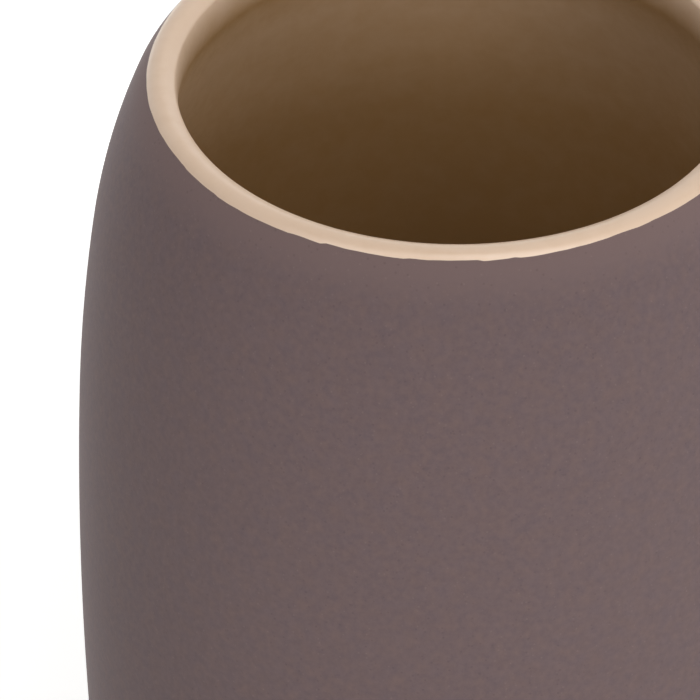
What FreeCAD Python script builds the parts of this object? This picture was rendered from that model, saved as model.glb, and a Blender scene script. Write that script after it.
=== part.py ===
import FreeCAD
import Part
import Sketcher
import math
import os

# Toothbrush holder: an open, barrel-shaped stoneware tumbler.
# One clay body carries a cream glaze inside and over the lip, a matte coat outside and a disc of
# glaze under the floor, and stands on four stick-on feet inside its foot ring.
# Millimetres, +Z up, origin on the table under the middle of the base.

# Driving dimensions. A bend is the radius of one arc of the wall, and a rise is its height.
SIZES = {
    "overall_height": 110.0,
    "belly_diameter": 85.0,
    "belly_height": 46.9,
    "belly_bend": 562.0,
    "flank_bend": 224.0,
    "flank_rise": 22.4,
    "shoulder_bend": 74.0,
    "shoulder_rise": 17.1,
    "lip_bend": 12.0,
    "lip_rise": 3.1,
    "heel_bend": 60.0,
    "heel_rise": 22.0,
    "foot_round": 6.0,
    "foot_lift": 0.8,
    "lip_round": 1.5,
    "bevel_run": 0.62,
    "bevel_fall": 0.36,
    "mouth_edge_round": 0.4,
    "throat_bend": 9.7,
    "throat_depth": 2.8,
    "hollow_bend": 150.0,
    "wall_thickness": 3.5,
    "floor_thickness": 4.0,
    "floor_round": 12.0,
    "foot_ring_width": 5.0,
    "recess_depth": 1.4,
    "recess_flare": 0.6,
    "coat_thickness": 0.25,
    "glaze_thickness": 0.3,
    "underside_margin": 0.5,
    "pad_diameter": 10.0,
    "pad_round": 0.6,
    "pad_inset": 1.4,
}

# Sizes that several pieces share, written once in terms of the driving dimensions.
BELLY_RADIUS = "Sizes.belly_diameter / 2 - Sizes.coat_thickness"
CREST_HEIGHT = "Sizes.overall_height - Sizes.glaze_thickness"
THROAT_HEIGHT = CREST_HEIGHT + " - Sizes.throat_depth"
HEEL_HEIGHT = "Sizes.foot_lift + Sizes.heel_rise"
RECESS_HEIGHT = "Sizes.foot_lift + Sizes.recess_depth"
FLOOR_HEIGHT = RECESS_HEIGHT + " + Sizes.floor_thickness"
PAD_HEIGHT = RECESS_HEIGHT + " - Sizes.glaze_thickness"
# Read off the clay's section, where it follows from the belly, the heel and the foot ring.
RECESS_RADIUS = "stoneware_body_section.Constraints.recess_radius / mm"

# The arcs of the wall's outside, from the foot ring up to the crest of the lip, with their radii.
OUTSIDE = {
    "foot_roll": "Sizes.foot_round",
    "heel": "Sizes.heel_bend",
    "belly": "Sizes.belly_bend",
    "flank": "Sizes.flank_bend",
    "shoulder": "Sizes.shoulder_bend",
    "lip_bend": "Sizes.lip_bend",
    "lip_outside": "Sizes.lip_round",
}
RISES = {
    "flank": "Sizes.flank_rise",
    "shoulder": "Sizes.shoulder_rise",
    "lip_bend": "Sizes.lip_rise",
}
# The arcs of the inside, from the crest of the lip down to the floor, with their radii.
INSIDE = {
    "lip_inside": "Sizes.lip_round",
    "mouth_edge": "Sizes.mouth_edge_round",
    "throat": "Sizes.throat_bend",
    "hollow": "Sizes.hollow_bend",
    "belly_inside": "Sizes.belly_bend - Sizes.wall_thickness",
    "floor_turn": "Sizes.floor_round",
}

PAD_COUNT = 4
HALF_STEP_SHARE = 0.5
FULL_TURN = 360.0

# Which point of a line or arc is meant, and the origin and upright axis that all sections share.
START, END, CENTRE = range(1, 4)
LEVEL_AXIS, UPRIGHT_AXIS = range(-1, -3, -1)
ORIGIN = (LEVEL_AXIS, START)


class Arc:
    """An arc about a centre, from a lower to a higher angle above the level."""

    def __init__(self, centre, radius, low, high):
        self.centre = centre
        self.radius = radius
        self.low = low
        self.high = high

    def towards(self, angle, distance):
        """The point at a distance from the centre, in the direction of an angle."""
        x, y = self.centre
        return (x + distance * math.cos(angle), y + distance * math.sin(angle))

    def start(self):
        return self.towards(self.low, self.radius)

    def end(self):
        return self.towards(self.high, self.radius)

    def towards_arc(self, other):
        """The angle and distance from this arc's centre to the centre of another."""
        x, y = (there - here for here, there in zip(self.centre, other.centre))
        return math.atan2(y, x), math.hypot(x, y)


class Section:
    """The half section of a turned piece: x is the radius, y the height above the table."""

    def __init__(self, sketch):
        self.sketch = sketch

    def value(self, formula):
        return float(self.sketch.evalExpression(formula))

    def line(self, start, end):
        places = [FreeCAD.Vector(x, y, 0) for x, y in (start, end)]
        return self.sketch.addGeometry(Part.LineSegment(*places))

    def arc(self, arc, guide=False):
        centre = FreeCAD.Vector(*arc.centre, 0)
        circle = Part.Circle(centre, FreeCAD.Vector(0, 0, 1), arc.radius)
        return self.sketch.addGeometry(Part.ArcOfCircle(circle, arc.low, arc.high), guide)

    def tie(self, kind, *places):
        self.sketch.addConstraint(Sketcher.Constraint(kind, *places))

    def measure(self, kind, *places, formula):
        constraint = Sketcher.Constraint(kind, *places, self.value(formula))
        index = self.sketch.addConstraint(constraint)
        self.sketch.setExpression("Constraints[%d]" % index, formula)

    def report(self, name, kind, *places):
        """Names a measure that follows from the rest, for other pieces to read."""
        index = self.sketch.addConstraint(Sketcher.Constraint(kind, *places, 0))
        self.sketch.setDriving(index, False)
        self.sketch.renameConstraint(index, name)

    def place(self, item, end, radius=None, height=None):
        """Fixes how far one end of a line or arc lies from the axis and above the table."""
        if radius is not None:
            self.measure("DistanceX", *ORIGIN, item, end, formula=radius)
        if height is not None:
            self.measure("DistanceY", *ORIGIN, item, end, formula=height)


def write_sheet(doc):
    """Puts the driving dimensions into the document's sheet, one named cell each."""
    sheet = doc.addObject("Spreadsheet::Sheet", "Sizes")
    for row, (name, size) in enumerate(SIZES.items(), start=1):
        cell = "B%d" % row
        sheet.set("A%d" % row, name)
        sheet.set(cell, str(size))
        sheet.setAlias(cell, name)
    doc.recompute()


def outside_arcs(section):
    """First places of the outside's arcs, each leaving the one below it along the same tangent.

    Going up an arc, the sine of the wall's lean grows by rise over bend. The lean where the belly
    ends then follows from the height that is left under the crest.
    """
    bend = {name: section.value(formula) for name, formula in OUTSIDE.items()}
    rise = {name: section.value(formula) for name, formula in RISES.items()}
    belly_height = section.value("Sizes.belly_height")
    lip = bend["lip_outside"]
    growth = sum(rise[name] / bend[name] for name in rise)
    left = section.value(CREST_HEIGHT) - lip * (1 - growth) - sum(rise.values()) - belly_height
    sine = left / (bend["belly"] - lip)

    drop = belly_height - section.value(HEEL_HEIGHT)
    heel_lean = -math.asin(drop / bend["belly"])
    centre = (section.value(BELLY_RADIUS) - bend["belly"], belly_height)
    belly = Arc(centre, bend["belly"], heel_lean, math.asin(sine))
    arcs = {"belly": belly}
    below = belly
    for name in RISES:
        sine += rise[name] / bend[name]
        centre = below.towards(below.high, below.radius - bend[name])
        arcs[name] = Arc(centre, bend[name], below.high, math.asin(sine))
        below = arcs[name]
    centre = below.towards(below.high, below.radius - lip)
    arcs["lip_outside"] = Arc(centre, lip, below.high, math.pi / 2)

    heel_centre = belly.towards(heel_lean, belly.radius - bend["heel"])
    roll_height = section.value("Sizes.foot_lift") + bend["foot_roll"]
    roll_reach = bend["heel"] - bend["foot_roll"]
    roll_lean = math.asin((roll_height - heel_centre[1]) / roll_reach)
    heel = Arc(heel_centre, bend["heel"], roll_lean, heel_lean)
    roll_centre = heel.towards(roll_lean, roll_reach)
    arcs["heel"] = heel
    arcs["foot_roll"] = Arc(roll_centre, bend["foot_roll"], -math.pi / 2, roll_lean)
    return arcs


def draw_outside(section, shown, guides=()):
    """Draws the named arcs of the outside as one smooth chain, the guides as construction only."""
    arcs = outside_arcs(section)
    chain = [name for name in OUTSIDE if name in shown or name in guides]
    drawn = {name: section.arc(arcs[name], name in guides) for name in chain}
    for lower, upper in zip(chain, chain[1:]):
        section.tie("Tangent", drawn[lower], END, drawn[upper], START)
    for name in chain:
        section.measure("Radius", drawn[name], formula=OUTSIDE[name])
        if name in RISES:
            section.measure("DistanceY", drawn[name], START, drawn[name], END, formula=RISES[name])

    belly = drawn["belly"]
    reach = "Sizes.belly_bend - (%s)" % BELLY_RADIUS
    section.measure("DistanceX", belly, CENTRE, *ORIGIN, formula=reach)
    section.place(belly, CENTRE, height="Sizes.belly_height")
    section.place(belly, START, height=HEEL_HEIGHT)
    crest = drawn["lip_outside"]
    section.place(crest, END, height=CREST_HEIGHT)
    section.tie("Vertical", crest, END, crest, CENTRE)
    if "foot_roll" in drawn:
        roll = drawn["foot_roll"]
        section.place(roll, START, height="Sizes.foot_lift")
        section.tie("Vertical", roll, START, roll, CENTRE)
    return drawn


def inside_arcs(section):
    """First places of the inside's arcs, from the crest of the lip down to the floor.

    A short bevel falls from the lip to the mouth's edge. Below that edge the throat bulges in. The
    hollow touches the throat from below and the inside of the belly from within, so its centre is a
    corner of the triangle on their two centres.
    """
    outside = outside_arcs(section)
    bend = {name: section.value(formula) for name, formula in INSIDE.items()}
    run, fall = section.value("Sizes.bevel_run"), section.value("Sizes.bevel_fall")
    slope = math.pi / 2 + math.atan2(fall, run)
    lip = Arc(outside["lip_outside"].centre, bend["lip_inside"], math.pi / 2, slope)
    x, y = lip.towards(slope, lip.radius - bend["mouth_edge"])
    edge = Arc((x - run, y - fall), bend["mouth_edge"], slope, slope)

    inward = bend["throat"] - edge.radius
    edge.high = math.pi - math.asin((edge.centre[1] - section.value(THROAT_HEIGHT)) / inward)
    throat = Arc(edge.towards(edge.high, -inward), bend["throat"], edge.high, math.pi)

    belly = Arc(outside["belly"].centre, bend["belly_inside"], 0, 0)
    lean, away = belly.towards_arc(throat)
    reach = belly.radius - bend["hollow"]
    touch = bend["hollow"] + throat.radius
    swing = math.acos((reach ** 2 + away ** 2 - touch ** 2) / (2 * reach * away))
    belly.high = lean - swing
    hollow = Arc(belly.towards(belly.high, reach), bend["hollow"], belly.high, belly.high)
    hollow.high, touch = hollow.towards_arc(throat)
    throat.high = math.pi + hollow.high

    turn_reach = belly.radius - bend["floor_turn"]
    turn_height = section.value(FLOOR_HEIGHT) + bend["floor_turn"]
    belly.low = math.asin((turn_height - belly.centre[1]) / turn_reach)
    turn_centre = belly.towards(belly.low, turn_reach)
    turn = Arc(turn_centre, bend["floor_turn"], -math.pi / 2, belly.low)
    return dict(zip(INSIDE, (lip, edge, throat, hollow, belly, turn)))


def draw_inside(section, outside):
    """Draws the inside from the crest of the lip to the axis, on an outside that is drawn already.

    Returns the floor line, whose start is on the axis.
    """
    arcs = inside_arcs(section)
    drawn = {name: section.arc(arc) for name, arc in arcs.items()}
    lip, edge = drawn["lip_inside"], drawn["mouth_edge"]
    bevel = section.line(arcs["lip_inside"].end(), arcs["mouth_edge"].start())
    section.tie("Tangent", outside["lip_outside"], END, lip, START)
    section.tie("Tangent", lip, END, bevel, START)
    section.tie("Tangent", bevel, END, edge, START)
    section.tie("Tangent", edge, END, drawn["throat"], START)
    section.tie("Tangent", drawn["throat"], END, drawn["hollow"], END)
    section.tie("Tangent", drawn["hollow"], START, drawn["belly_inside"], END)
    section.tie("Tangent", drawn["belly_inside"], START, drawn["floor_turn"], END)
    for name, formula in INSIDE.items():
        section.measure("Radius", drawn[name], formula=formula)
    section.measure("DistanceX", bevel, END, bevel, START, formula="Sizes.bevel_run")
    section.measure("DistanceY", bevel, END, bevel, START, formula="Sizes.bevel_fall")
    section.place(drawn["throat"], CENTRE, height=THROAT_HEIGHT)
    section.tie("Coincident", drawn["belly_inside"], CENTRE, outside["belly"], CENTRE)

    turn = drawn["floor_turn"]
    section.place(turn, START, height=FLOOR_HEIGHT)
    section.tie("Vertical", turn, START, turn, CENTRE)
    floor_height = section.value(FLOOR_HEIGHT)
    floor = section.line((0, floor_height), (arcs["floor_turn"].centre[0], floor_height))
    section.tie("Coincident", floor, END, turn, START)
    section.tie("Horizontal", floor)
    section.tie("PointOnObject", floor, START, UPRIGHT_AXIS)
    return floor


def body_section(doc, name):
    """A body for one sub-part, with an empty section in its upright plane."""
    body = doc.addObject("PartDesign::Body", name)
    body.Label = name
    sketch = body.newObject("Sketcher::SketchObject", name + "_section")
    planes = {feature.Role: feature for feature in body.Origin.OriginFeatures}
    sketch.AttachmentSupport = (planes["XZ_Plane"], [""])
    sketch.MapMode = "FlatFace"
    return body, Section(sketch)


def revolve(body, section):
    """Turns a body's closed section once round the upright axis."""
    turned = body.newObject("PartDesign::Revolution", body.Name + "_turned")
    turned.Profile = section.sketch
    turned.ReferenceAxis = (section.sketch, ["V_Axis"])
    turned.Angle = FULL_TURN
    return body


def make_stoneware_body(doc):
    """The clay blank: wall, rounded lip, floor, foot ring and the recess inside the ring."""
    body, section = body_section(doc, "stoneware_body")
    outside = draw_outside(section, shown=OUTSIDE)
    floor = draw_inside(section, outside)

    recess_height = section.value(RECESS_HEIGHT)
    foot_height = section.value("Sizes.foot_lift")
    roll_radius = outside_arcs(section)["foot_roll"].centre[0]
    ring_radius = roll_radius - section.value("Sizes.foot_ring_width")
    roll_start = (roll_radius, foot_height)
    ring_corner = (ring_radius, foot_height)
    top_corner = (ring_radius - section.value("Sizes.recess_flare"), recess_height)
    axis = section.line((0, section.value(FLOOR_HEIGHT)), (0, recess_height))
    ceiling = section.line((0, recess_height), top_corner)
    slope = section.line(top_corner, ring_corner)
    ring = section.line(ring_corner, roll_start)
    section.tie("Coincident", floor, START, axis, START)
    section.tie("Coincident", axis, END, ceiling, START)
    section.tie("Coincident", ceiling, END, slope, START)
    section.tie("Coincident", slope, END, ring, START)
    section.tie("Coincident", ring, END, outside["foot_roll"], START)
    section.tie("Vertical", axis)
    section.tie("Horizontal", ceiling)
    section.tie("Horizontal", ring)
    section.place(ceiling, END, height=RECESS_HEIGHT)
    section.measure("DistanceX", ring, START, ring, END, formula="Sizes.foot_ring_width")
    section.measure("DistanceX", slope, START, slope, END, formula="Sizes.recess_flare")
    section.report("recess_radius", "DistanceX", *ORIGIN, ceiling, END)
    revolve(body, section)
    doc.recompute()
    return body


def upright_sketch(doc, name):
    """A section of its own in the upright plane, for a line that a finish follows."""
    sketch = doc.addObject("Sketcher::SketchObject", name)
    sketch.Placement.Rotation = FreeCAD.Rotation(FreeCAD.Vector(1, 0, 0), FULL_TURN / 4)
    return Section(sketch)


def make_layer(doc, name, section, thickness):
    """A finish of even thickness on a line of the clay, turned round the upright axis.

    The clay lies on the positive side of each line, so the finish is built on the negative one.
    """
    ribbon = doc.addObject("Part::Offset2D", name + "_ribbon")
    ribbon.Source = section.sketch
    ribbon.Mode = "Skin"
    ribbon.Join = "Tangent"
    ribbon.Fill = True
    ribbon.setExpression("Value", "-" + thickness)
    layer = doc.addObject("Part::Revolution", name)
    layer.Label = name
    layer.Source = ribbon
    layer.Axis = FreeCAD.Vector(0, 0, 1)
    layer.Angle = FULL_TURN
    layer.Solid = True
    return layer


def make_lining_glaze(doc):
    """The cream glaze over the lip, down the inside and across the floor."""
    section = upright_sketch(doc, "lining_line")
    draw_inside(section, draw_outside(section, shown=("lip_outside",), guides=("belly", *RISES)))
    return make_layer(doc, "lining_glaze", section, "Sizes.glaze_thickness")


def make_matte_coat(doc):
    """The coat on the outside, from the heel up to the trimmed line below the lip."""
    section = upright_sketch(doc, "coat_line")
    ends = ("foot_roll", "lip_outside")
    draw_outside(section, shown=[name for name in OUTSIDE if name not in ends], guides=ends)
    return make_layer(doc, "matte_coat", section, "Sizes.coat_thickness")


def draw_disc(section, radius, bottom, top, edge_round):
    """Draws the half section of a disc between two heights, with its lower edge rounded."""
    low, high = section.value(bottom), section.value(top)
    reach, bevel = section.value(radius), section.value(edge_round)
    over = section.line((0, high), (reach, high))
    side = section.line((reach, high), (reach, low + bevel))
    corner = section.arc(Arc((reach - bevel, low + bevel), bevel, -math.pi / 2, 0))
    under = section.line((reach - bevel, low), (0, low))
    axis = section.line((0, low), (0, high))
    section.tie("Coincident", over, END, side, START)
    section.tie("Tangent", side, END, corner, END)
    section.tie("Tangent", corner, START, under, START)
    section.tie("Coincident", under, END, axis, START)
    section.tie("Coincident", axis, END, over, START)
    section.tie("Horizontal", over)
    section.tie("Vertical", side)
    section.tie("Horizontal", under)
    section.tie("PointOnObject", axis, START, UPRIGHT_AXIS)
    section.tie("PointOnObject", axis, END, UPRIGHT_AXIS)
    section.place(over, END, radius=radius, height=top)
    section.measure("DistanceY", under, END, axis, END, formula="%s - (%s)" % (top, bottom))
    section.measure("Radius", corner, formula=edge_round)


def make_underside_glaze(doc):
    """The disc of glaze that seals the clay inside the foot ring, soft at its edge."""
    body, section = body_section(doc, "underside_glaze")
    reach = RECESS_RADIUS + " - Sizes.underside_margin"
    draw_disc(section, reach, PAD_HEIGHT, RECESS_HEIGHT, "Sizes.glaze_thickness / 2")
    return revolve(body, section)


def make_foot_pad(doc, number):
    """One stick-on foot, from the table up to the underside glaze."""
    body, section = body_section(doc, "foot_pad_%d" % number)
    draw_disc(section, "Sizes.pad_diameter / 2", "0", PAD_HEIGHT, "Sizes.pad_round")
    turn = FULL_TURN * (number - HALF_STEP_SHARE) / PAD_COUNT
    reach = "(%s - Sizes.pad_diameter / 2 - Sizes.pad_inset)" % RECESS_RADIUS
    body.setExpression("Placement.Base.x", "%s * cos(%g deg)" % (reach, turn))
    body.setExpression("Placement.Base.y", "%s * sin(%g deg)" % (reach, turn))
    return revolve(body, section)


def check(doc, pieces):
    """Stops the build if any object failed or any piece is not one sound solid."""
    for item in doc.Objects:
        if "Invalid" in item.State or "Error" in item.State:
            raise RuntimeError("%s did not build: %s" % (item.Label, item.State))
    for piece in pieces:
        shape = piece.Shape
        if shape.isNull() or not shape.isValid() or len(shape.Solids) != 1:
            raise RuntimeError("%s is not one sound solid" % piece.Label)


def main():
    doc = FreeCAD.newDocument("toothbrush_holder")
    write_sheet(doc)
    pieces = [
        make_stoneware_body(doc),
        make_lining_glaze(doc),
        make_matte_coat(doc),
        make_underside_glaze(doc),
    ]
    pieces += [make_foot_pad(doc, number) for number in range(1, PAD_COUNT + 1)]
    doc.recompute()
    check(doc, pieces)
    os.makedirs("parts", exist_ok=True)
    for piece in pieces:
        piece.Shape.exportStep("parts/%s.step" % piece.Label)
        print("%s: %.1f cubic mm" % (piece.Label, piece.Shape.Volume))


main()
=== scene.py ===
"""Looks of a toothbrush holder: an open, barrel-shaped stoneware tumbler.

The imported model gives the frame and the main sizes, in metres. Every piece is a closed surface of
rings round an upright axis. A clay blank carries a cream lining, a matte coat and a glazed base, and
stands on four soft feet inside its foot ring.
"""

import math

import bpy
import numpy as np
from bpy.props import FloatProperty, FloatVectorProperty, IntProperty, PointerProperty
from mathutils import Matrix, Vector


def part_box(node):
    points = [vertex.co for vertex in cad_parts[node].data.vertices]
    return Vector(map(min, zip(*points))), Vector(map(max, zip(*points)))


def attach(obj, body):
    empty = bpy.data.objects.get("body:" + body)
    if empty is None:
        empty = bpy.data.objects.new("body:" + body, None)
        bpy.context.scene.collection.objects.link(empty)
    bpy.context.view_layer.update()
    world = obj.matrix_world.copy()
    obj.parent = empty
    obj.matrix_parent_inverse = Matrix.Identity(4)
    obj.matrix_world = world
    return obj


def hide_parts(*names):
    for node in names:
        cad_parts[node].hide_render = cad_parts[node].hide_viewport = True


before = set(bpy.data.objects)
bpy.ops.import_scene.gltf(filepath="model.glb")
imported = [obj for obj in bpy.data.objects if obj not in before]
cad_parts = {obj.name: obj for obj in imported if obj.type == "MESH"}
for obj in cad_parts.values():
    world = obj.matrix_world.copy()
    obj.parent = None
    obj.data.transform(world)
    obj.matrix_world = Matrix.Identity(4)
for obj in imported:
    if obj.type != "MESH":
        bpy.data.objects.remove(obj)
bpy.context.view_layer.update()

bl_info = {
    "name": "Toothbrush Tumbler",
    "version": (1, 0, 0),
    "blender": (4, 5, 0),
    "location": "3D View > Sidebar > Tumbler",
    "description": "Turns a stoneware toothbrush tumbler, its finishes and a small studio",
    "category": "Object",
}

BODY = "root"

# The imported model's boxes, which the main sizes come from.
COAT_LOW, COAT_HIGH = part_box("matte_coat")
LINING_LOW, LINING_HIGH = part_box("lining_glaze")
CLAY_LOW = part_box("stoneware_body")[0]
BASE_LOW, BASE_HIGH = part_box("underside_glaze")
FEET = sorted(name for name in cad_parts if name.startswith("foot_pad_"))

# How finely a line is sampled before its rings are chosen.
LINE_SAMPLES = 600
# The golden angle, between the phases of neighbouring waves, so that their crests never line up.
PHASE_STEP = math.pi * (3.0 - math.sqrt(5.0))
# The coat's upper edge: strokes of the knife, how far a stroke's start strays as a share of its length,
# the waves of the hand's jitter, and the strokes' share in both.
TRIM_STROKES = 29
STROKE_STRAY = 0.3
TRIM_WAVES = (11, 23, 37, 53, 71, 97)
STROKE_SHARE = 0.7
# Waves in the coat's lower edge and in the edge of the base glaze.
HEEL_WAVES = (2, 3, 4, 7, 9, 14, 19, 31)
# Rings over which the coat thins out at the heel.
COAT_EDGE_RINGS = 8
# How the glaze deepens inside, partly a deeper glaze and partly painted shade in the hollow: metres
# below the crest of the lip, and the share of the deep colour there. The dip after about 6 mm leaves a
# painted dark ring of shade under the throat's fold.
DEEP_GLAZE_AND_SHADE_STOPS = (
    (0.0009, 0.0),
    (0.0020, 0.24),
    (0.0030, 0.44),
    (0.0058, 0.92),
    (0.0075, 0.79),
    (0.0120, 0.68),
    (0.0300, 0.95),
    (0.0500, 1.0),
)
# Nearly all values of a noise lie between these two.
NOISE_LOW = 0.3
NOISE_HIGH = 0.7
# The inner share of a speck's radius that shows it in full.
SPECK_CORE = 0.45
# How far the pattern of the coat's dark specks is moved from that of the pale ones, in metres.
SPECK_SHIFT = (0.13, 0.29, 0.41)
# Colour sockets of a Mix node by number, because its other sockets have the same names.
MIX_FIRST = 6
MIX_SECOND = 7
MIX_RESULT = 2
# Each softbox: the first word of its name, where it stands in degrees (round from the front to the
# right, and above the table), and how wide it is in metres.
SOFTBOXES = (
    ("key", 35.0, 36.0, 0.5),
    ("low", 35.0, 10.0, 0.5),
    ("fill", -35.0, 36.0, 0.5),
    ("side", 70.0, 10.0, 0.5),
    ("top", 8.0, 62.0, 0.36),
    ("rim", -150.0, 10.0, 0.5),
    ("back", 150.0, 62.0, 0.5),
    ("rear", 168.0, 10.0, 0.5),
)
# Width of the camera's sensor in millimetres.
SENSOR_WIDTH = 36.0
# The turn between two faces from which their edge is drawn sharp.
SHARP_TURN = math.radians(50.0)
# The name of the map that each piece gets, round the axis and along its section.
MAP_NAME = "OFBake"
# How much of that map a ring's step gets where another piece hides it, next to one in sight.
HIDDEN_SHARE = 0.12


def setting(kind, **limits):
    """A maker of settings that a user may change, each with a name, a description and a default."""

    def make(name, description, default):
        return kind(name=name, description=description, default=default, **limits)

    return make


# The kinds of settings: sizes in metres, angles in radians, numbers of points, shares, linear colours,
# lamp powers in watts and focal lengths in millimetres.
length = setting(FloatProperty, min=0.0, precision=5, unit="LENGTH")
angular = setting(FloatProperty, subtype="ANGLE")
ring_points = setting(IntProperty, min=16)
share = setting(FloatProperty, min=0.0, max=1.0, subtype="FACTOR")
colour = setting(FloatVectorProperty, min=0.0, max=1.0, subtype="COLOR")
power = setting(FloatProperty, min=0.0, unit="POWER")
focal = setting(FloatProperty, unit="CAMERA")


class TumblerForm(bpy.types.PropertyGroup):
    """Sizes of the tumbler. A bend is the radius of one arc of the wall, and a rise is its height."""

    overall_height: length("Height", "From the table to the crest of the lip", LINING_HIGH.z)
    belly_diameter: length("Belly", "Across the coat at its widest", COAT_HIGH.x - COAT_LOW.x)
    belly_height: length("Belly height", "Where the tumbler is widest", 0.0469)
    belly_bend: length("Belly bend", "Arc from the heel to the flank", 0.562)
    flank_bend: length("Flank bend", "Arc above the belly", 0.224)
    flank_rise: length("Flank rise", "Height of the flank", 0.0224)
    shoulder_bend: length("Shoulder bend", "Arc above the flank", 0.074)
    shoulder_rise: length("Shoulder rise", "Height of the shoulder", 0.0171)
    lip_bend: length("Lip bend", "Arc that turns in to the lip", 0.012)
    lip_rise: length("Lip rise", "Height of that arc", 0.0031)
    heel_bend: length("Heel bend", "Arc below the belly", 0.060)
    heel_rise: length("Heel rise", "From the foot ring to the belly's arc", 0.022)
    foot_round: length("Foot round", "Arc from the heel to the foot ring", 0.006)
    foot_lift: length("Foot lift", "Foot ring above the table", CLAY_LOW.z)
    foot_ring_width: length("Foot ring", "Width of the flat ring", 0.005)
    recess_height: length("Recess", "Clay inside the ring above the table", BASE_HIGH.z)
    recess_flare: length("Recess flare", "How much the recess widens downwards", 0.0006)
    ring_round: length("Ring round", "Rounding of the ring's inner corners", 0.00035)
    lip_round: length("Lip round", "Arcs on both sides of the lip's crest", 0.0015)
    bevel_run: length("Bevel run", "Level width of the bevel inside the lip", 0.00062)
    bevel_fall: length("Bevel fall", "Height of that bevel", 0.00036)
    mouth_edge_round: length("Mouth edge", "Arc below the bevel", 0.0004)
    throat_bend: length("Throat bend", "Arc that bulges in below the mouth's edge", 0.0097)
    throat_depth: length("Throat depth", "Narrowest place below the clay's crest", 0.0028)
    hollow_bend: length("Hollow bend", "Arc that widens from the throat to the belly", 0.150)
    wall: length("Wall", "Thickness of the clay wall at the belly", 0.0035)
    floor_height: length("Floor", "Clay floor above the table", LINING_LOW.z)
    floor_round: length("Floor round", "Arc from the wall to the floor", 0.012)
    coat_thickness: length("Coat", "Thickness of the matte coat", 0.00025)
    coat_edge: length("Coat edge", "Width over which the coat thins out at the heel", 0.0006)
    glaze_thickness: length("Glaze", "Thickness of the cream glaze", 0.0003)
    glaze_edge: length("Glaze edge", "Width over which the glaze thins to the coat", 0.0007)
    trim_wave: length("Trim wave", "How far the coat's upper edge strays", 0.00014)
    heel_wave: length("Heel wave", "How far the coat's lower edge strays", 0.00016)
    base_wave: length("Base wave", "How far the base glaze draws in", 0.00025)
    pad_round: length("Foot rounding", "Lower edge of a soft foot", 0.0006)
    pad_top_round: length("Foot top rounding", "Upper edge of a soft foot", 0.00012)
    ring_step: length("Ring step", "Longest step between rings in sight", 0.0015)
    hidden_step: length("Hidden step", "Longest step between rings out of sight", 0.003)
    pad_step: length("Foot step", "Longest step between rings of a soft foot", 0.0005)
    ring_turn: angular("Ring turn", "Largest turn between rings in sight", math.radians(5.0))
    hidden_turn: angular("Hidden turn", "Largest turn between rings out of sight", math.radians(10.0))
    columns: ring_points("Columns", "Points in each ring", 320)
    pad_columns: ring_points("Foot columns", "Points in each ring of a soft foot", 72)


class TumblerFinish(bpy.types.PropertyGroup):
    """Colours and surfaces of the finishes."""

    coat: colour("Coat", "Matte coat", (0.192, 0.130, 0.124))
    coat_cloud: colour("Coat cloud", "Coat where it lies thicker", (0.178, 0.127, 0.133))
    # Painted light: the next two settings make a paler band of coat under the trimmed line, where the
    # shoulder catches the lamps above the front.
    coat_lit_band: colour("Thin coat", "Coat where it thins out to the trimmed line", (0.205, 0.140, 0.134))
    lit_band_width: length("Thin width", "How far down from the trimmed line the coat is thinner", 0.0055)
    coat_pale: colour("Pale specks", "Grains that show pale in the coat", (0.28, 0.200, 0.178))
    coat_dark: colour("Dark specks", "Grains that show dark in the coat", (0.107, 0.074, 0.077))
    coat_sheen: share("Coat sheen", "Soft brightening of the coat at grazing angles", 0.13)
    speck_strength: share("Speck strength", "How clearly the coat's specks show", 0.3)
    powder_strength: share("Powder strength", "How clearly the coat's fine blotches show", 0.34)
    cream: colour("Cream", "Glaze on the lip", (0.732, 0.545, 0.398))
    cream_warm: colour("Warm cream", "Glaze where it lies thicker", (0.712, 0.519, 0.365))
    # The deep cream is partly a deeper glaze and partly painted shade far down inside.
    cream_deep_and_shade: colour("Deep cream", "Glaze far down inside", (0.335, 0.187, 0.069))
    glaze_mottle: share("Glaze mottle", "How far the glaze strays in depth of colour", 0.04)
    clay: colour("Clay", "Bare fired clay", (0.62, 0.53, 0.42))
    clay_dark: colour("Clay grit", "Grit in the bare clay", (0.33, 0.25, 0.18))
    clay_mottle: share("Clay mottle", "How clearly the clay's blotches show", 0.3)
    grit_strength: share("Grit strength", "How clearly the clay's grit shows", 0.6)
    silicone: colour("Silicone", "Soft feet", (0.78, 0.78, 0.75))
    silicone_dusty: colour("Dusty silicone", "Soft feet where dust clings", (0.624, 0.624, 0.600))
    dust_strength: share("Dust strength", "How clearly that dust shows", 0.25)


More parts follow.
